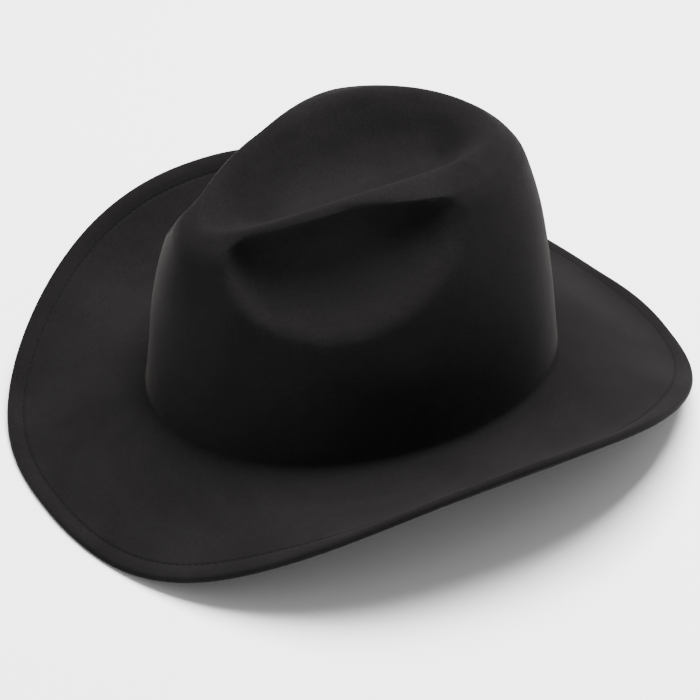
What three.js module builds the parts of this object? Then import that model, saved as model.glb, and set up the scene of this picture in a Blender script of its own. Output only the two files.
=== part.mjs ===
// A western felt hat, resting on the front and back dips of its brim.
// The frame: millimetres, +Z up, the hat's front towards -Y, the wearer's left towards +X.
// The origin lies on the resting plane, under the middle of the brim.

import * as THREE from "three";
import { mergeVertices } from "three/addons/utils/BufferGeometryUtils.js";

// Head opening and crown
const HEAD_HALF_WIDTH = 86; // half width of the crown's outside where it meets the brim
const HEAD_HALF_LENGTH = 103; // half length of the same oval, front to back
const HEAD_SET_FORWARD = 2; // the oval's middle lies this far in front of the brim's middle
const CROWN_HEIGHT = 122; // from the brim to the highest part of the crest
const FELT = 2; // thickness of the blocked felt
const JOIN_RADIUS = 3.5; // the soft bend between crown and brim

// The brim's inner end stands highest at the sides and lowest at the front
const JOIN_LEVEL = 28.4;
const JOIN_TILT = 2; // higher at the back and lower at the front by this much
const JOIN_SADDLE = 1.3; // higher at the sides, lower at the front and back

// Brim
const BRIM_HALF_WIDTH = 151;
const BRIM_HALF_LENGTH = 168.3;
const SIDE_RISE = 58.8; // how far the rolled sides stand above the front and back edges
const ROLL_SHARPNESS = 2.7; // power of the sine that spreads the rise round the edge
const ROLL_LEAN = 0.45; // the rise starts later at the front than at the back
const FRONT_FULLNESS = 2.27; // 2 is an ellipse, more is squarer
const SIDE_CURL = 2.2; // power of the brim's upward curve at the sides
const DIP_CURL = 1.5; // power of its downward curve at the front and back
const DIP_LEVELLING = 1.6; // power with which the dip levels out towards the edge
const CURL_BLEND = 20; // the two curves blend while the edge stands this far below or above the join

// Hem: the edge is turned under, lies on itself and is sewn down
const HEM_WIDTH = 9.5;
const HEM_FELT = 1.7; // the turned strip is pressed a little thinner
const HEM_GAP = 0.3;
const FOLD_WALL = 1.8; // thickness of the fold that runs round the edge
const FOLD_ROUNDING = 1.2; // how far the fold rounds in from its outermost line
const GROOVE_DEPTH = 0.5; // the seam draws the felt in along a line
const GROOVE_HALF_WIDTH = 1.6;
const REST_PRESS = 1.5; // the free edge would hang this much lower than the plane it rests on
const PRESS_ROUNDING = 1; // the flattened felt bends up from the plane within this height

// Side dents, one each side of the front, pressed in with thumb and finger
const DENT_DEPTH = 21;
const DENT_LIP_HEIGHT = 64; // lowest point of the lip above the brim
const DENT_LIP_RISE = 17; // the lip climbs by this much at each end
const DENT_LIP_MIDDLE = 48; // in front of the head oval's middle
const DENT_LIP_TO_FRONT = 38;
const DENT_LIP_TO_BACK = 52;
const DENT_SHELF = 22; // height over which the shelf above the lip runs in
const DENT_ROUNDING = 0.45; // share of the shelf that rounds over the lip
const DENT_FRONT_FADE = [94, 58]; // in front of the oval's middle, from nothing to full
const DENT_BACK_FADE = [-2, -32]; // from full to nothing
const DENT_TOP_HEIGHT = 118; // the dent ends this far above the brim, below the crest
const DENT_TOP_FALL = 9; // its top edge is lower by this much at the back
const DENT_TOP_ROUNDING = 9;
const NOSE_HALF_WIDTH = 35; // the dents die out towards the nose of the crown

// Sections of the crown from the join up over the crest and down to the middle of the top dent.
// width: share of the oval's half width. front, back: shares of its half length, and middle: where
// between them the section is widest.
// riseFront, riseSide, riseBack: shares of the crown's height. fullness: of the front, 2 is an ellipse.
// dent: share of the side dent's depth that this section takes. steps: rings up to the next section.
const CROWN_COLUMNS = [
  "width", "front", "back", "middle", "riseFront", "riseSide", "riseBack", "fullness", "dent", "steps",
];
const CROWN_SECTIONS = {
  join: [1.0, 1.0, 1.0, 0.0, 0.0, 0.0, 0.0, 2.0, 0.0, 2],
  low: [0.975, 0.98, 0.978, 0.0, 0.16, 0.19, 0.18, 2.0, 0.0, 2],
  mid: [0.94, 0.96, 0.945, 0.0, 0.34, 0.41, 0.39, 2.0, 1.0, 4],
  high: [0.87, 0.935, 0.9, -0.01, 0.53, 0.64, 0.61, 1.88, 1.0, 4],
  shoulder: [0.74, 0.89, 0.84, -0.04, 0.69, 0.85, 0.79, 1.8, 1.0, 2],
  brow: [0.67, 0.865, 0.8, -0.07, 0.745, 0.915, 0.85, 1.78, 0.8, 2],
  edge: [0.6, 0.83, 0.755, -0.11, 0.785, 0.94, 0.89, 1.75, 0.35, 2],
  crest: [0.46, 0.765, 0.68, -0.17, 0.82, 0.968, 0.928, 1.7, 0.02, 2],
  inner: [0.35, 0.68, 0.6, -0.2, 0.812, 0.93, 0.915, 1.7, 0.0, 2],
  slope: [0.22, 0.57, 0.52, -0.2, 0.795, 0.86, 0.875, 1.75, 0.0, 1],
  valley: [0.1, 0.48, 0.44, -0.2, 0.775, 0.79, 0.8, 1.9, 0.0, 1],
  floor: [0.0, 0.43, 0.4, -0.2, 0.77, 0.77, 0.78, 2.0, 0.0, 0],
};
const FRONT_FALL = 2.3; // power of the cosine with which the crest falls to the front
const BACK_FALL = 2;

// Fineness of the faceted surface
const SEGMENTS = 68;
const FRONT_BIAS = 0.25; // segments are closer together at the front, where the dents are
const JOIN_STEPS = 3;
const BRIM_STEPS = 7;
const FOLD_STEPS = 4;
const VERTEX_MERGE = 1e-3;
const PROBE = 1e-3; // step with which a direction along the brim is measured

const STACK = FELT + HEM_GAP + HEM_FELT; // felt, gap and turned strip together at the edge
const HEM_MIDDLE = (FOLD_WALL + HEM_GAP + HEM_WIDTH) / 2; // inset of the turned strip's middle line
const { abs, cos, hypot, max, min, PI, sign, sin } = Math;

const power = (value, exponent) => sign(value) * abs(value) ** exponent;
const lerp = THREE.MathUtils.lerp;

// 0 before start, 1 after end, smooth between; start may be the larger one.
function fade(start, end, value) {
  const t = min(max((value - start) / (end - start), 0), 1);
  return t * t * (3 - 2 * t);
}

// Angle of each segment, from 0 at the front to the wearer's left and round.
const ANGLES = Array.from({ length: SEGMENTS }, (_, k) => {
  const turn = (2 * PI * k) / SEGMENTS;
  return turn - FRONT_BIAS * sin(turn);
});

// The height of the brim's inner end, where the crown stands on it.
function joinLevel(angle) {
  return JOIN_LEVEL - JOIN_TILT * cos(angle) - JOIN_SADDLE * cos(2 * angle);
}

// How far the side dent pushes in a point of the crown at this place and height above the brim.
function dentDepth(x, forward, height) {
  const fromMiddle = forward - DENT_LIP_MIDDLE;
  const reach = fromMiddle > 0 ? DENT_LIP_TO_FRONT : DENT_LIP_TO_BACK;
  const lip = DENT_LIP_HEIGHT + DENT_LIP_RISE * (fromMiddle / reach) ** 2;
  const steepness = (2 * DENT_LIP_RISE * fromMiddle) / reach ** 2;
  const t = min(max((height - lip) / (DENT_SHELF * hypot(1, steepness)), 0), 1);
  const shelf = sin((PI / 2) * t) * fade(0, DENT_ROUNDING, t);
  const along = fade(...DENT_FRONT_FADE, forward) * (1 - fade(...DENT_BACK_FADE, forward));
  const top = DENT_TOP_HEIGHT - DENT_TOP_FALL * fade(DENT_LIP_MIDDLE, DENT_BACK_FADE[1], forward);
  const belowTop = 1 - fade(top - DENT_TOP_ROUNDING, top, height);
  return DENT_DEPTH * shelf * along * belowTop * fade(0, NOSE_HALF_WIDTH, abs(x));
}

// One point of a crown section at an angle.
function crownPoint(section, angle) {
  const s = sin(angle);
  const c = cos(angle);
  const exponent = 2 / (c > 0 ? section.fullness : 2);
  const reach = c > 0 ? section.front - section.middle : section.back + section.middle;
  const x = HEAD_HALF_WIDTH * section.width * power(s, exponent);
  const forward = HEAD_HALF_LENGTH * (section.middle + reach * power(c, exponent));
  const ends =
    c > 0
      ? (section.riseFront - section.riseSide) * c ** FRONT_FALL
      : (section.riseBack - section.riseSide) * (-c) ** BACK_FALL;
  const height = JOIN_RADIUS + (CROWN_HEIGHT - JOIN_RADIUS) * (section.riseSide + ends);
  const dent = section.dent * dentDepth(x, forward, height);
  return [x - sign(x) * dent, -HEAD_SET_FORWARD - forward, joinLevel(angle) + height];
}

// The sections with the rings between them, by a smooth curve through the table's columns.
function crownRings() {
  const sections = Object.values(CROWN_SECTIONS).map((row) =>
    Object.fromEntries(CROWN_COLUMNS.map((column, n) => [column, row[n]])),
  );
  const last = sections.length - 1;
  const mirrored = { ...sections[last - 1], width: -sections[last - 1].width };
  const at = (k) => (k > last ? mirrored : sections[max(k, 0)]);
  const rings = [];
  for (let k = 0; k < last; k++) {
    for (let step = 0; step < sections[k].steps; step++) {
      const t = step / sections[k].steps;
      const ring = {};
      for (const column of CROWN_COLUMNS) {
        const [before, a, b, after] = [k - 1, k, k + 1, k + 2].map((n) => at(n)[column]);
        const bend = 2 * before - 5 * a + 4 * b - after;
        const twist = 3 * (a - b) + after - before;
        ring[column] = a + 0.5 * t * (b - before + t * (bend + t * twist));
      }
      rings.push(ring);
    }
  }
  rings.push(sections[last]);
  return rings;
}

// The oval where crown and brim meet, moved outwards by an offset.
function ovalPoint(angle, offset, height) {
  const nx = sin(angle) / HEAD_HALF_WIDTH;
  const ny = -cos(angle) / HEAD_HALF_LENGTH;
  const n = hypot(nx, ny);
  return [
    HEAD_HALF_WIDTH * sin(angle) + (offset * nx) / n,
    -HEAD_SET_FORWARD - HEAD_HALF_LENGTH * cos(angle) + (offset * ny) / n,
    joinLevel(angle) + height,
  ];
}

// The brim's upper edge as it would hang free: an oval with a full front, its sides rolled up.
function edgePoint(angle) {
  const s = sin(angle);
  const c = cos(angle);
  const exponent = 2 / (c > 0 ? FRONT_FULLNESS : 2);
  const rise = SIDE_RISE * abs(s) ** (ROLL_SHARPNESS + ROLL_LEAN * c);
  return [
    BRIM_HALF_WIDTH * power(s, exponent),
    -BRIM_HALF_LENGTH * power(c, exponent),
    STACK - REST_PRESS + rise,
  ];
}

// A height of the brim's upper side, lifted where the resting plane carries the felt.
function pressed(height) {
  const over = height - STACK;
  if (over >= PRESS_ROUNDING) return height;
  return STACK + max(over + PRESS_ROUNDING, 0) ** 2 / (4 * PRESS_ROUNDING);
}

// A point of the brim's upper side, share 0 at the crown's bend and 1 at the edge.
function brimPoint(angle, share) {
  const inner = ovalPoint(angle, JOIN_RADIUS, 0);
  const edge = edgePoint(angle);
  const rise = edge[2] - inner[2];
  const dip = 1 - max(1 - share ** DIP_CURL, 0) ** DIP_LEVELLING;
  const curve = lerp(dip, share ** SIDE_CURL, fade(-CURL_BLEND, CURL_BLEND, rise));
  return [
    lerp(inner[0], edge[0], share),
    lerp(inner[1], edge[1], share),
    pressed(inner[2] + rise * curve),
  ];
}

// The share of the brim's width that leaves this distance to its edge.
function shareAtInset(angle, inset) {
  const inner = ovalPoint(angle, JOIN_RADIUS, 0);
  const edge = edgePoint(angle);
  const width = hypot(edge[0] - inner[0], edge[1] - inner[1]);
  const steepness = (abs(edge[2] - inner[2]) / width) * SIDE_CURL;
  return 1 - inset / (width * hypot(1, steepness));
}

// A point near the brim's edge, at an inset from it and a depth below the upper side.
function hemPoint(angle, inset, depth) {
  const share = shareAtInset(angle, inset);
  const at = new THREE.Vector3(...brimPoint(angle, share));
  const outward = new THREE.Vector3(...brimPoint(angle, share + PROBE)).sub(
    new THREE.Vector3(...brimPoint(angle, share - PROBE)),
  );
  const along = new THREE.Vector3(...brimPoint(angle + PROBE, share)).sub(
    new THREE.Vector3(...brimPoint(angle - PROBE, share)),
  );
  at.addScaledVector(outward.cross(along).normalize(), -depth);
  return [at.x, at.y, max(at.z, 0)];
}

const ringOf = (pointAt) => ANGLES.map(pointAt);
const hemRing = (inset, depth) => ringOf((angle) => hemPoint(angle, inset, depth));

// Rings of the upper side, from the middle of the top dent down and out to the hem's groove.
function upperRings() {
  const rings = crownRings()
    .reverse()
    .map((section) => ringOf((angle) => crownPoint(section, angle)));
  for (let k = 1; k < JOIN_STEPS; k++) {
    const turn = (PI / 2) * (k / JOIN_STEPS);
    const offset = JOIN_RADIUS * (1 - cos(turn));
    const height = JOIN_RADIUS * (1 - sin(turn));
    rings.push(ringOf((angle) => ovalPoint(angle, offset, height)));
  }
  for (let k = 0; k <= BRIM_STEPS; k++) {
    const end = (angle) => shareAtInset(angle, HEM_WIDTH + GROOVE_HALF_WIDTH);
    rings.push(ringOf((angle) => brimPoint(angle, (k / BRIM_STEPS) * end(angle))));
  }
  return rings;
}

// The same rings moved through the felt to its lower side.
function lowerRings(upper) {
  const normals = upper.map((ring, r) =>
    ring.map((_, k) => {
      const next = new THREE.Vector3(...ring[(k + 1) % SEGMENTS]);
      const around = next.sub(new THREE.Vector3(...ring[(k + SEGMENTS - 1) % SEGMENTS]));
      const outer = new THREE.Vector3(...upper[min(r + 1, upper.length - 1)][k]);
      const outward = outer.sub(new THREE.Vector3(...upper[max(r - 1, 0)][k]));
      return outward.cross(around).normalize();
    }),
  );
  // The middle line has no width, so it takes its direction from the ring beside it.
  normals[0] = normals[1].map((normal) => new THREE.Vector3(0, normal.y, normal.z).normalize());
  return upper.map((ring, r) =>
    ring.map((point, k) => {
      const moved = new THREE.Vector3(...point).addScaledVector(normals[r][k], -FELT);
      return [moved.x, moved.y, moved.z];
    }),
  );
}

// A surface through rings of equal count, with its outside on the left of the way round.
function ringGeometry(rings) {
  const index = [];
  for (let r = 0; r < rings.length - 1; r++) {
    for (let k = 0; k < SEGMENTS; k++) {
      const next = (k + 1) % SEGMENTS;
      const [a, b] = [r * SEGMENTS + k, r * SEGMENTS + next];
      const [c, d] = [b + SEGMENTS, a + SEGMENTS];
      index.push(a, c, b, a, d, c);
    }
  }
  const geometry = new THREE.BufferGeometry();
  geometry.setAttribute("position", new THREE.Float32BufferAttribute(rings.flat(2), 3));
  geometry.setIndex(index);
  const merged = mergeVertices(geometry, VERTEX_MERGE);
  merged.setIndex(withoutFlat([...merged.index.array]));
  merged.computeVertexNormals();
  return merged;
}

// Triangles whose corners have merged along the middle line are dropped.
function withoutFlat(index) {
  const kept = [];
  for (let k = 0; k < index.length; k += 3) {
    const [a, b, c] = index.slice(k, k + 3);
    if (a !== b && b !== c && c !== a) kept.push(a, b, c);
  }
  return kept;
}

// Crown and brim: one blocked wall of felt, open below, with the fold round its edge.
function feltBody() {
  const upper = upperRings();
  const edge = [
    hemRing(HEM_WIDTH, GROOVE_DEPTH),
    hemRing(HEM_WIDTH - GROOVE_HALF_WIDTH, 0),
    hemRing(HEM_WIDTH / 2, 0),
  ];
  for (let k = 0; k <= FOLD_STEPS; k++) {
    const turn = (PI * k) / FOLD_STEPS;
    edge.push(hemRing(FOLD_ROUNDING * (1 - sin(turn)), (STACK / 2) * (1 - cos(turn))));
  }
  edge.push(hemRing(FOLD_WALL, STACK), hemRing(FOLD_WALL, FELT));
  edge.push(hemRing(HEM_MIDDLE, FELT), hemRing(HEM_WIDTH, FELT));
  const lower = lowerRings(upper).reverse();
  return ringGeometry([...upper, ...edge, ...lower]);
}

// The turned strip: it lies under the brim inside the fold, flat on the plane where the hat rests.
// Its rings run the same way as those of the felt above it, so the facets lie parallel.
function brimHem() {
  const outer = FOLD_WALL + HEM_GAP;
  const top = FELT + HEM_GAP;
  const start = hemRing(outer, STACK);
  const geometry = ringGeometry([
    start,
    hemRing(outer, top),
    hemRing(HEM_MIDDLE, top),
    hemRing(HEM_WIDTH, top),
    hemRing(HEM_WIDTH, STACK),
    hemRing(HEM_MIDDLE, STACK),
    start,
  ]);
  geometry.setIndex([...geometry.index.array].reverse());
  return geometry;
}

function piece(name, geometry, material) {
  const mesh = new THREE.Mesh(geometry, material);
  mesh.name = name;
  return mesh;
}

const blackFelt = new THREE.MeshStandardMaterial({ color: 0x1f1d1e, roughness: 0.95, metalness: 0 });
const pressedFelt = new THREE.MeshStandardMaterial({ color: 0x1b191a, roughness: 0.9, metalness: 0 });

const hat = new THREE.Group();
hat.add(piece("felt_body", feltBody(), blackFelt));
hat.add(piece("brim_hem", brimHem(), pressedFelt));

export default hat;
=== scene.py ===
"""A black wool-felt western hat, resting on its brim.

The shapes are worked out in millimetres and placed in metres.
The hat's front points towards -Y and the wearer's left towards +X.
"""

import math
import random

import bpy
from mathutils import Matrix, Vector


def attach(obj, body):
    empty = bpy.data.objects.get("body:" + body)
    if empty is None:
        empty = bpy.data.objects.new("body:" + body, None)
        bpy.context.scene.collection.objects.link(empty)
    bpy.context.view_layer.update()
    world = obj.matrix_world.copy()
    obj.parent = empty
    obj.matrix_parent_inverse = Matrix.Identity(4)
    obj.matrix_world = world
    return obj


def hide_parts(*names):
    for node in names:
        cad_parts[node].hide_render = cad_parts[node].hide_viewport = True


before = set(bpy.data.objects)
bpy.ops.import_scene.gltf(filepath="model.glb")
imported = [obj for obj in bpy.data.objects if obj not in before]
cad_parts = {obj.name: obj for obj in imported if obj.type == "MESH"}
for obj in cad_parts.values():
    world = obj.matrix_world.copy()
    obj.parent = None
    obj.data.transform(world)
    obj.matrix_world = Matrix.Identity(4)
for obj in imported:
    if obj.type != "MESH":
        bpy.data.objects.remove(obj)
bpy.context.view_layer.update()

MM = 0.001

# Head opening and crown, in millimetres
HEAD_HALF_WIDTH = 86.0
HEAD_HALF_LENGTH = 103.0
HEAD_SET_FORWARD = 2.0
CROWN_HEIGHT = 122.0
FELT = 2.0
JOIN_RADIUS = 3.5
JOIN_LEVEL = 28.4
JOIN_TILT = 2.0
JOIN_SADDLE = 1.3

# Brim
BRIM_HALF_WIDTH = 151.0
BRIM_HALF_LENGTH = 168.3
SIDE_RISE = 58.8
ROLL_SHARPNESS = 2.7
ROLL_LEAN = 0.45
FRONT_FULLNESS = 2.27
SIDE_CURL = 2.2
DIP_CURL = 1.5
DIP_LEVELLING = 1.6
CURL_BLEND = 20.0

# Hem, turned under and sewn down
HEM_WIDTH = 9.5
HEM_FELT = 1.7
HEM_GAP = 0.3
REST_PRESS = 1.5
PRESS_ROUNDING = 1.0
GROOVE_DEPTH = 0.45
GROOVE_HALF_WIDTH = 0.9
HEM_PUFF = 0.35
STITCH_PITCH = 3.4
STITCH_LENGTH = 2.5
THREAD = 0.55
THREAD_SUNK = 0.12
STITCH_LEAN = 0.06
STITCH_SHORTEST = 0.92
STITCH_LONGEST = 1.05
FOLD_INSET = 0.6
STRIP_OUTER_INSET = 0.4
STRIP_END = 0.9
STRIP_TIP = 1.2
STRIP_TIP_BEVEL = 0.2

# Side dents
DENT_DEPTH = 25.0
DENT_LIP_HEIGHT = 64.0
DENT_LIP_RISE = 17.0
DENT_LIP_MIDDLE = 48.0
DENT_LIP_TO_FRONT = 44.0
DENT_LIP_TO_BACK = 52.0
DENT_SHELF = 22.0
DENT_ROUNDING = 0.35
DENT_FRONT_FADE = (85.0, 67.0)
DENT_BACK_FADE = (-6.0, -26.0)
NOSE_HALF_WIDTH = 35.0
DENT_TOP_HEIGHT = 123.0
DENT_TOP_FALL = 8.0
DENT_TOP_ROUNDING = 8.5

# Sections of the crown, from the join over the crest to the middle of the top dent
# width, front, back: shares of the head oval. middle: where the section is widest, forward of the oval's
# middle. rise_front, rise_side, rise_back: shares of the crown's height. fullness: of the front, 2 is an
# ellipse. dent: share of the side dent that the section takes.
CROWN_COLUMNS = (
    "width", "front", "back", "middle", "rise_front", "rise_side", "rise_back", "fullness", "dent",
)
CROWN_SECTIONS = (
    (1.0, 1.0, 1.0, 0.0, 0.0, 0.0, 0.0, 2.0, 0.0),  # join
    (0.975, 0.98, 0.978, 0.0, 0.16, 0.19, 0.18, 2.0, 0.0),  # low
    (0.94, 0.96, 0.945, 0.0, 0.34, 0.41, 0.39, 2.0, 1.0),  # mid
    (0.87, 0.935, 0.9, -0.01, 0.53, 0.64, 0.61, 1.88, 1.0),  # high
    (0.74, 0.89, 0.84, -0.04, 0.69, 0.85, 0.79, 1.83, 0.78),  # shoulder
    (0.67, 0.865, 0.8, -0.06, 0.745, 0.915, 0.85, 1.86, 0.58),  # brow
    (0.6, 0.83, 0.755, -0.09, 0.785, 0.94, 0.89, 1.88, 0.3),  # edge
    (0.465, 0.765, 0.68, -0.15, 0.825, 0.968, 0.928, 1.85, 0.02),  # crest
    (0.365, 0.68, 0.6, -0.18, 0.815, 0.91, 0.905, 1.8, 0.0),  # inner
    (0.25, 0.57, 0.53, -0.2, 0.795, 0.82, 0.85, 1.75, 0.0),  # slope
    (0.12, 0.48, 0.45, -0.2, 0.775, 0.775, 0.79, 1.9, 0.0),  # valley
    (0.0, 0.43, 0.4, -0.2, 0.77, 0.77, 0.78, 2.0, 0.0),  # floor of the top dent
)
FRONT_FALL = 2.5
BACK_FALL = 2.0

# Fineness of the felt's mesh
COLUMNS = 240
FRONT_BIAS = 0.25
ROWS_PER_SECTION = (4, 5, 9, 10, 6, 6, 6, 5, 4, 3, 3)
BEND_ROWS = 5
BRIM_ROWS = 16
FOLD_ROWS = 8
PUFF_ROWS = 6
GROOVE_ROWS = (1.0, 0.5, 0.0, -0.5, -1.0, -2.0)  # in half widths of the groove
GROOVE_SPREAD = 0.6
SEAM_STEPS = 2880

STACK = FELT + HEM_GAP + HEM_FELT


def fade(start, end, value):
    t = min(max((value - start) / (end - start), 0.0), 1.0)
    return t * t * (3 - 2 * t)


def signed_power(value, exponent):
    return math.copysign(abs(value) ** exponent, value)


def mix(a, b, share):
    return a + (b - a) * share


ANGLES = []
for column in range(COLUMNS):
    turn = 2 * math.pi * column / COLUMNS
    ANGLES.append(turn - FRONT_BIAS * math.sin(turn))


def join_level(angle):
    return JOIN_LEVEL - JOIN_TILT * math.cos(angle) - JOIN_SADDLE * math.cos(2 * angle)


def dent_depth(x, forward, height):
    """How far thumb and finger have pushed the crown in at this place."""
    from_middle = forward - DENT_LIP_MIDDLE
    reach = DENT_LIP_TO_FRONT if from_middle > 0 else DENT_LIP_TO_BACK
    lip = DENT_LIP_HEIGHT + DENT_LIP_RISE * (from_middle / reach) ** 2
    steepness = 2 * DENT_LIP_RISE * from_middle / reach ** 2
    t = min(max((height - lip) / (DENT_SHELF * math.hypot(1, steepness)), 0.0), 1.0)
    shelf = math.sin(math.pi / 2 * t) * fade(0, DENT_ROUNDING, t)
    along = fade(*DENT_FRONT_FADE, forward) * (1 - fade(*DENT_BACK_FADE, forward))
    top = DENT_TOP_HEIGHT - DENT_TOP_FALL * fade(DENT_LIP_MIDDLE, DENT_BACK_FADE[1], forward)
    below_top = 1 - fade(top - DENT_TOP_ROUNDING, top, height)
    return DENT_DEPTH * shelf * along * below_top * fade(0, NOSE_HALF_WIDTH, abs(x))


def crown_point(section, angle):
    s, c = math.sin(angle), math.cos(angle)
    exponent = 2 / (section["fullness"] if c > 0 else 2)
    middle = section["middle"]
    reach = section["front"] - middle if c > 0 else section["back"] + middle
    x = HEAD_HALF_WIDTH * section["width"] * signed_power(s, exponent)
    forward = HEAD_HALF_LENGTH * (middle + reach * signed_power(c, exponent))
    if c > 0:
        ends = (section["rise_front"] - section["rise_side"]) * c ** FRONT_FALL
    else:
        ends = (section["rise_back"] - section["rise_side"]) * (-c) ** BACK_FALL
    height = JOIN_RADIUS + (CROWN_HEIGHT - JOIN_RADIUS) * (section["rise_side"] + ends)
    dent = section["dent"] * dent_depth(x, forward, height)
    return Vector((x - math.copysign(dent, x), -HEAD_SET_FORWARD - forward, join_level(angle) + height))


def crown_sections():
    """The table's sections with smooth ones between them."""
    last = len(CROWN_SECTIONS) - 1
    mirrored = (-CROWN_SECTIONS[last - 1][0],) + CROWN_SECTIONS[last - 1][1:]
    sections = []
    for k in range(last):
        before = CROWN_SECTIONS[max(k - 1, 0)]
        here, after = CROWN_SECTIONS[k], CROWN_SECTIONS[k + 1]
        beyond = mirrored if k + 2 > last else CROWN_SECTIONS[k + 2]
        for step in range(ROWS_PER_SECTION[k]):
            t = step / ROWS_PER_SECTION[k]
            values = []
            for p, a, b, q in zip(before, here, after, beyond):
                bend = 2 * p - 5 * a + 4 * b - q
                twist = 3 * (a - b) + q - p
                values.append(a + 0.5 * t * (b - p + t * (bend + t * twist)))
            sections.append(dict(zip(CROWN_COLUMNS, values)))
    sections.append(dict(zip(CROWN_COLUMNS, CROWN_SECTIONS[last])))
    return sections


def oval_point(angle, offset, height):
    nx = math.sin(angle) / HEAD_HALF_WIDTH
    ny = -math.cos(angle) / HEAD_HALF_LENGTH
    n = math.hypot(nx, ny)
    return Vector((
        HEAD_HALF_WIDTH * math.sin(angle) + offset * nx / n,
        -HEAD_SET_FORWARD - HEAD_HALF_LENGTH * math.cos(angle) + offset * ny / n,
        join_level(angle) + height,
    ))


def edge_point(angle):
    s, c = math.sin(angle), math.cos(angle)
    exponent = 2 / (FRONT_FULLNESS if c > 0 else 2)
    rise = SIDE_RISE * abs(s) ** (ROLL_SHARPNESS + ROLL_LEAN * c)
    return Vector((
        BRIM_HALF_WIDTH * signed_power(s, exponent),
        -BRIM_HALF_LENGTH * signed_power(c, exponent),
        STACK - REST_PRESS + rise,
    ))


def pressed(height):
    over = height - STACK
    if over >= PRESS_ROUNDING:
        return height
    return STACK + max(over + PRESS_ROUNDING, 0) ** 2 / (4 * PRESS_ROUNDING)


def brim_point(angle, share):
    inner, edge = oval_point(angle, JOIN_RADIUS, 0), edge_point(angle)
    rise = edge.z - inner.z
    dip = 1 - max(1 - share ** DIP_CURL, 0) ** DIP_LEVELLING
    curve = mix(dip, share ** SIDE_CURL, fade(-CURL_BLEND, CURL_BLEND, rise))
    return Vector((
        mix(inner.x, edge.x, share),
        mix(inner.y, edge.y, share),
        pressed(inner.z + rise * curve),
    ))


def share_at_inset(angle, inset):
    inner, edge = oval_point(angle, JOIN_RADIUS, 0), edge_point(angle)
    width = math.hypot(edge.x - inner.x, edge.y - inner.y)
    steepness = abs(edge.z - inner.z) / width * SIDE_CURL
    return 1 - inset / (width * math.hypot(1, steepness))


def hem_frame(angle, inset):
    """A point of the brim's upper side near the edge, with its outward and upward directions."""
    probe = 1e-3
    share = share_at_inset(angle, inset)
    at = brim_point(angle, share)
    outward = brim_point(angle, share + probe) - brim_point(angle, share - probe)
    along = brim_point(angle + probe, share) - brim_point(angle - probe, share)
    up = outward.cross(along).normalized()
    return at, along.normalized(), up


def hem_point(angle, inset, depth):
    at, _, up = hem_frame(angle, inset)
    at = at - up * depth
    at.z = max(at.z, 0.0)
    return at


def ring(point_at):
    return [point_at(angle) for angle in ANGLES]


def upper_side():
    """Rows of the hat's outer side, from the middle of the top dent to the seam."""
    rows = []
    for section in reversed(crown_sections()):
        rows.append(ring(lambda angle: crown_point(section, angle)))
    for k in range(1, BEND_ROWS):
        turn = math.pi / 2 * k / BEND_ROWS
        offset, height = JOIN_RADIUS * (1 - math.cos(turn)), JOIN_RADIUS * (1 - math.sin(turn))
        rows.append(ring(lambda angle: oval_point(angle, offset, height)))
    for k in range(BRIM_ROWS + 1):
        rows.append(ring(lambda angle: brim_point(
            angle, k / BRIM_ROWS * share_at_inset(angle, HEM_WIDTH + 2 * GROOVE_HALF_WIDTH))))
    return rows


def seam_and_fold():
    """Rows from the seam's groove over the puffed strip and round the turned edge."""
    rows = []
    for inset in GROOVE_ROWS:
        depth = GROOVE_DEPTH * math.exp(-(inset / GROOVE_SPREAD) ** 2)
        place = HEM_WIDTH + inset * GROOVE_HALF_WIDTH
        rows.append(ring(lambda angle: hem_point(angle, place, depth)))
    for k in range(1, PUFF_ROWS):
        place = mix(HEM_WIDTH - 2 * GROOVE_HALF_WIDTH, STACK / 2, k / PUFF_ROWS)
        puff = HEM_PUFF * math.sin(math.pi * k / PUFF_ROWS)
        rows.append(ring(lambda angle: hem_point(angle, place, -puff)))
    for k in range(FOLD_ROWS + 1):
        turn = math.pi * k / FOLD_ROWS
        place = STACK / 2 * (1 - math.sin(turn))
        depth = STACK / 2 * (1 - math.cos(turn))
        rows.append(ring(lambda angle: hem_point(angle, place, depth)))
    rows.append(ring(lambda angle: hem_point(angle, STACK / 2 + FOLD_INSET, STACK)))
    rows.append(ring(lambda angle: hem_point(angle, STACK / 2 + FOLD_INSET, FELT)))
    rows.append(ring(lambda angle: hem_point(angle, HEM_WIDTH / 2, FELT)))
    rows.append(ring(lambda angle: hem_point(angle, HEM_WIDTH, FELT)))
    return rows


def inner_side(upper):
    """The same rows moved through the felt."""
    rows = []
    for r, row in enumerate(upper):
        outer, inner = upper[min(r + 1, len(upper) - 1)], upper[max(r - 1, 0)]
        moved = []
        for k, point in enumerate(row):
            around = row[(k + 1) % COLUMNS] - row[k - 1]
            normal = (outer[k] - inner[k]).cross(around)
            if r == 0:
                beside = upper[1]
                around = beside[(k + 1) % COLUMNS] - beside[k - 1]
                normal = (upper[2][k] - row[k]).cross(around)
                normal.x = 0
            moved.append(point - normal.normalized() * FELT)
        rows.append(moved)
    return rows


def deselect_all():
    bpy.ops.object.select_all(action="DESELECT")


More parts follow.
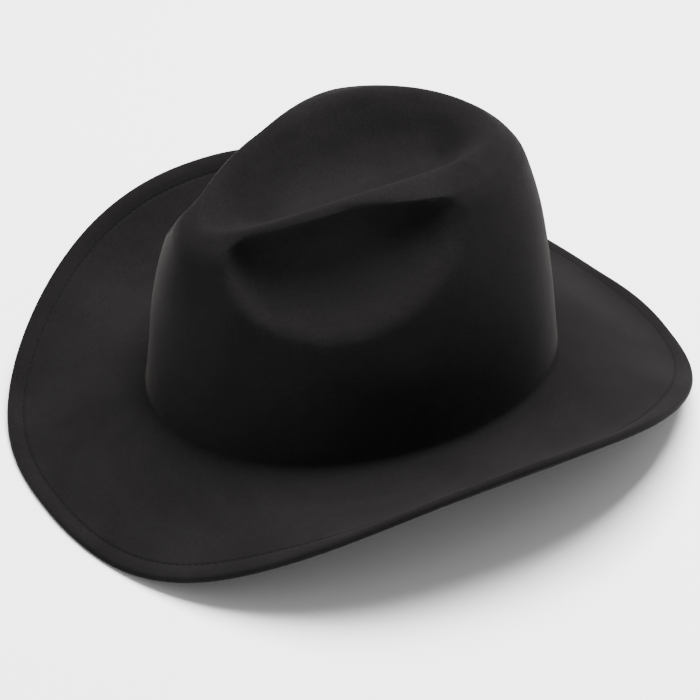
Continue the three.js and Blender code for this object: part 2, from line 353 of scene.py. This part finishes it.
def wrap_sheet(name, rows, closed_profile=False):
    """A sheet of quads, wrapped round the hat with one row of the sheet for each row of points."""
    deselect_all()
    if closed_profile:
        rows = rows + [rows[0]]
    bpy.ops.mesh.primitive_grid_add(x_subdivisions=COLUMNS, y_subdivisions=len(rows) - 1, size=1)
    sheet = bpy.context.object
    sheet.name = sheet.data.name = name
    for vertex in sheet.data.vertices:
        column = round((vertex.co.x + 0.5) * COLUMNS) % COLUMNS
        row = round((vertex.co.y + 0.5) * (len(rows) - 1))
        vertex.co = rows[row][column] * MM
    bpy.ops.object.mode_set(mode="EDIT")
    bpy.ops.mesh.select_all(action="SELECT")
    bpy.ops.mesh.remove_doubles(threshold=1e-6)
    bpy.ops.mesh.normals_make_consistent(inside=False)
    bpy.ops.object.mode_set(mode="OBJECT")
    bpy.ops.object.shade_smooth()
    return sheet


def linear(hex_colour):
    """The linear colour of an sRGB hex value."""
    channels = []
    for shift in (16, 8, 0):
        value = (hex_colour >> shift & 255) / 255
        channels.append(value / 12.92 if value <= 0.04045 else ((value + 0.055) / 1.055) ** 2.4)
    return (*channels, 1.0)


def add_node(tree, kind, settings=None, inputs=None):
    """A node with its settings, and its inputs set to values or linked to sockets."""
    node = tree.nodes.new(kind)
    for key, value in (settings or {}).items():
        setattr(node, key, value)
    for key, value in (inputs or {}).items():
        if isinstance(value, bpy.types.NodeSocket):
            tree.links.new(value, node.inputs[key])
        else:
            node.inputs[key].default_value = value
    return node


def new_material(name):
    material = bpy.data.materials.new(name)
    material.use_nodes = True
    material.node_tree.nodes.clear()
    return material, material.node_tree


def colour_ramp(tree, factor, stops):
    node = add_node(tree, "ShaderNodeValToRGB", inputs={"Fac": factor})
    elements = node.color_ramp.elements
    elements[0].position, elements[0].color = stops[0]
    elements[1].position, elements[1].color = stops[-1]
    for position, colour in stops[1:-1]:
        elements.new(position).color = colour
    return node


# Wool felt, blocked and dyed black. Matt, with a soft sheen from the fibres that stand up.
def black_wool_felt(name, nap, shade):
    material, tree = new_material(name)
    place = add_node(tree, "ShaderNodeTexCoord").outputs["Object"]
    # Matted fibres are about 0.03 mm thick; the tangles they form are about 0.9 mm across.
    tangle = add_node(tree, "ShaderNodeTexNoise", inputs={
        "Vector": place, "Scale": 1 / (0.9 * MM), "Detail": 5.0, "Roughness": 0.7, "Distortion": 0.8})
    # Uneven thickness of the felt, about 14 mm across
    unevenness = add_node(tree, "ShaderNodeTexNoise", inputs={
        "Vector": place, "Scale": 1 / (14 * MM), "Detail": 3.0, "Roughness": 0.55})
    # Where hands and brushes have lifted the nap, about 55 mm across
    brushing = add_node(tree, "ShaderNodeTexNoise", inputs={
        "Vector": place, "Scale": 1 / (55 * MM), "Detail": 4.0, "Roughness": 0.6, "Distortion": 0.5})
    dark, light = shade
    base = colour_ramp(tree, brushing.outputs["Fac"], [(0.35, linear(dark)), (0.65, linear(light))])
    fibre = colour_ramp(tree, tangle.outputs["Fac"], [
        (0.3, (0.72, 0.72, 0.72, 1)), (0.5, (1.0, 1.0, 1.0, 1)), (0.75, (1.35, 1.33, 1.32, 1))])
    colour = add_node(tree, "ShaderNodeMix", {"data_type": "RGBA", "blend_type": "MULTIPLY"}, {
        "Factor": 1.0, "A": base.outputs["Color"], "B": fibre.outputs["Color"]})
    coarse = add_node(tree, "ShaderNodeBump", inputs={
        "Strength": 0.25, "Distance": 0.8 * MM, "Height": unevenness.outputs["Fac"]})
    fine = add_node(tree, "ShaderNodeBump", inputs={
        "Strength": nap, "Distance": 0.35 * MM, "Height": tangle.outputs["Fac"],
        "Normal": coarse.outputs["Normal"]})
    shader = add_node(tree, "ShaderNodeBsdfPrincipled", inputs={
        "Base Color": colour.outputs["Result"], "Roughness": 0.95, "Specular IOR Level": 0.03,
        "Sheen Weight": 0.05, "Sheen Roughness": 0.3, "Sheen Tint": linear(0xcfc8c6),
        "Normal": fine.outputs["Normal"]})
    add_node(tree, "ShaderNodeOutputMaterial", inputs={"Surface": shader.outputs["BSDF"]})
    return material


# Polyester sewing thread, black, twisted. Smoother than the felt, so it shines a little.
def black_thread():
    material, tree = new_material("black_sewing_thread")
    place = add_node(tree, "ShaderNodeTexCoord").outputs["Object"]
    twist = add_node(tree, "ShaderNodeTexWave", {"wave_type": "BANDS", "bands_direction": "DIAGONAL"}, {
        "Vector": place, "Scale": 1 / (2.2 * MM), "Distortion": 1.0})
    bump = add_node(tree, "ShaderNodeBump", inputs={
        "Strength": 0.4, "Distance": 0.08 * MM, "Height": twist.outputs["Fac"]})
    shader = add_node(tree, "ShaderNodeBsdfPrincipled", inputs={
        "Base Color": linear(0x0a0909), "Roughness": 0.8, "Specular IOR Level": 0.08,
        "Normal": bump.outputs["Normal"]})
    add_node(tree, "ShaderNodeOutputMaterial", inputs={"Surface": shader.outputs["BSDF"]})
    return material


def give_material(piece, material):
    piece.data.materials.clear()
    piece.data.materials.append(material)


def felt_body():
    upper = upper_side()
    rows = upper + seam_and_fold() + inner_side(upper)[::-1]
    return wrap_sheet("felt_hat_body", rows)


def turned_hem():
    outer, middle = STACK / 2 + STRIP_OUTER_INSET, HEM_WIDTH / 2 + 1
    top = FELT + HEM_GAP
    rows = [
        ring(lambda angle: hem_point(angle, outer, STACK)),
        ring(lambda angle: hem_point(angle, outer, top)),
        ring(lambda angle: hem_point(angle, middle, top)),
        ring(lambda angle: hem_point(angle, HEM_WIDTH + STRIP_END, top)),
        ring(lambda angle: hem_point(angle, HEM_WIDTH + STRIP_TIP, (top + STACK) / 2)),
        ring(lambda angle: hem_point(angle, HEM_WIDTH + STRIP_END, STACK - STRIP_TIP_BEVEL)),
        ring(lambda angle: hem_point(angle, HEM_WIDTH, STACK)),
        ring(lambda angle: hem_point(angle, middle, STACK)),
    ]
    return wrap_sheet("turned_hem", rows, closed_profile=True)


def seam_places(depth):
    """Evenly spaced places along the seam, each with its direction along and upwards."""
    step = 2 * math.pi / SEAM_STEPS
    points = [hem_point(step * k, HEM_WIDTH, depth) for k in range(SEAM_STEPS)]
    lengths = [(points[(k + 1) % SEAM_STEPS] - points[k]).length for k in range(SEAM_STEPS)]
    total = sum(lengths)
    count = round(total / STITCH_PITCH)
    places, gone, k = [], 0.0, 0
    for n in range(count):
        wanted = total * n / count
        while gone + lengths[k] < wanted:
            gone += lengths[k]
            k += 1
        angle = step * (k + (wanted - gone) / lengths[k])
        at, along, up = hem_frame(angle, HEM_WIDTH)
        places.append((at - up * depth, along, up))
    return places


def hem_stitches():
    deselect_all()
    bpy.ops.mesh.primitive_uv_sphere_add(segments=8, ring_count=6, radius=0.5)
    stitch = bpy.context.object
    stitch.name = stitch.data.name = "hem_stitches"
    shape = stitch.data.copy()
    random.seed(4)
    vertices, faces = [], []
    for at, along, up in seam_places(GROOVE_DEPTH - THREAD_SUNK):
        across = up.cross(along).normalized()
        lean = random.uniform(-STITCH_LEAN, STITCH_LEAN)
        length = STITCH_LENGTH * random.uniform(STITCH_SHORTEST, STITCH_LONGEST)
        along = (along + across * lean).normalized()
        across = up.cross(along).normalized()
        start = len(vertices)
        for vertex in shape.vertices:
            thickness = across * vertex.co.y + up * vertex.co.z
            vertices.append((at + along * vertex.co.x * length + thickness * THREAD) * MM)
        for polygon in shape.polygons:
            faces.append([start + index for index in polygon.vertices])
    stitch.data.clear_geometry()
    stitch.data.from_pydata(vertices, [], faces)
    bpy.ops.object.mode_set(mode="EDIT")
    bpy.ops.mesh.select_all(action="SELECT")
    bpy.ops.mesh.normals_make_consistent(inside=False)
    bpy.ops.object.mode_set(mode="OBJECT")
    bpy.ops.object.shade_smooth()
    return stitch


def floor():
    deselect_all()
    bpy.ops.mesh.primitive_plane_add(size=12, location=(0, 0, 0))
    plane = bpy.context.object
    plane.name = "floor"
    material, tree = new_material("pale_paper_floor")
    shader = add_node(tree, "ShaderNodeBsdfPrincipled", inputs={
        "Base Color": linear(0xf4f4f4), "Roughness": 0.9, "Specular IOR Level": 0.1})
    add_node(tree, "ShaderNodeOutputMaterial", inputs={"Surface": shader.outputs["BSDF"]})
    give_material(plane, material)


# The camera stands at the photograph's angle.
CAMERA_TURN = math.radians(59.8)
CAMERA_HEIGHT = math.radians(34.0)
CAMERA_DISTANCE = 1.38
CAMERA_TARGET = Vector((0, -0.00064, 0.06309))
CAMERA_FOCAL_PIXELS = 2898
IMAGE_PIXELS = 700
LOOK_UP = -0.0262
LOOK_RIGHT = -0.00267


def view_directions(turn, height):
    back = Vector((
        math.sin(turn) * math.cos(height),
        -math.cos(turn) * math.cos(height),
        math.sin(height)))
    right = Vector((math.cos(turn), math.sin(turn), 0))
    return back, right, back.cross(right)


def add_camera():
    back, right, up = view_directions(CAMERA_TURN, CAMERA_HEIGHT)
    eye = CAMERA_TARGET + back * CAMERA_DISTANCE
    aim = CAMERA_TARGET + up * LOOK_UP + right * LOOK_RIGHT
    data = bpy.data.cameras.new("camera")
    data.sensor_width = 36
    data.lens = CAMERA_FOCAL_PIXELS / IMAGE_PIXELS * data.sensor_width
    data.clip_end = 50
    camera = bpy.data.objects.new("camera", data)
    camera.location = eye
    camera.rotation_euler = (aim - eye).to_track_quat("-Z", "Y").to_euler()
    bpy.context.collection.objects.link(camera)
    bpy.context.scene.camera = camera


# Light, in metres and watts
LIGHT_AIM = Vector((0, 0, 0.07))
OVERHEAD_SIZE = (1.3, 1.3)
SIDE_SIZE = (0.9, 1.2)
OVERHEAD_POWER = 195
RIGHT_POWER = 2.5
LEFT_POWER = 1.2
ROOM_STRENGTH = 0.65


def soft_light(name, place, size, power):
    data = bpy.data.lights.new(name, "AREA")
    data.shape = "RECTANGLE"
    data.size, data.size_y = size
    data.energy = power
    light = bpy.data.objects.new(name, data)
    light.location = place
    light.rotation_euler = (LIGHT_AIM - place).to_track_quat("-Z", "Y").to_euler()
    bpy.context.collection.objects.link(light)


def add_lights():
    back, right, _ = view_directions(CAMERA_TURN, 0)
    high = Vector((0, 0, 1))
    soft_light("overhead_softbox", -back * 0.35 + right * 0.2 + high * 1.9, OVERHEAD_SIZE, OVERHEAD_POWER)
    soft_light("right_softbox", right * 1.5 - back * 0.5 + high * 0.55, SIDE_SIZE, RIGHT_POWER)
    soft_light("left_softbox", -right * 1.5 - back * 0.5 + high * 0.55, SIDE_SIZE, LEFT_POWER)
    world = bpy.data.worlds.new("white_studio")
    world.use_nodes = True
    room = world.node_tree.nodes["Background"]
    room.inputs["Color"].default_value = (1, 1, 1, 1)
    room.inputs["Strength"].default_value = ROOM_STRENGTH
    bpy.context.scene.world = world


deselect_all()
add_camera()

body = felt_body()
give_material(body, black_wool_felt("black_wool_felt", 0.5, (0x100f0f, 0x141313)))
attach(body, "root")
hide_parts("felt_body")

hem = turned_hem()
give_material(hem, black_wool_felt("pressed_black_felt", 0.35, (0x0f0e0e, 0x131212)))
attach(hem, "root")
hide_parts("brim_hem")

stitches = hem_stitches()
give_material(stitches, black_thread())
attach(stitches, "root")

floor()
add_lights()
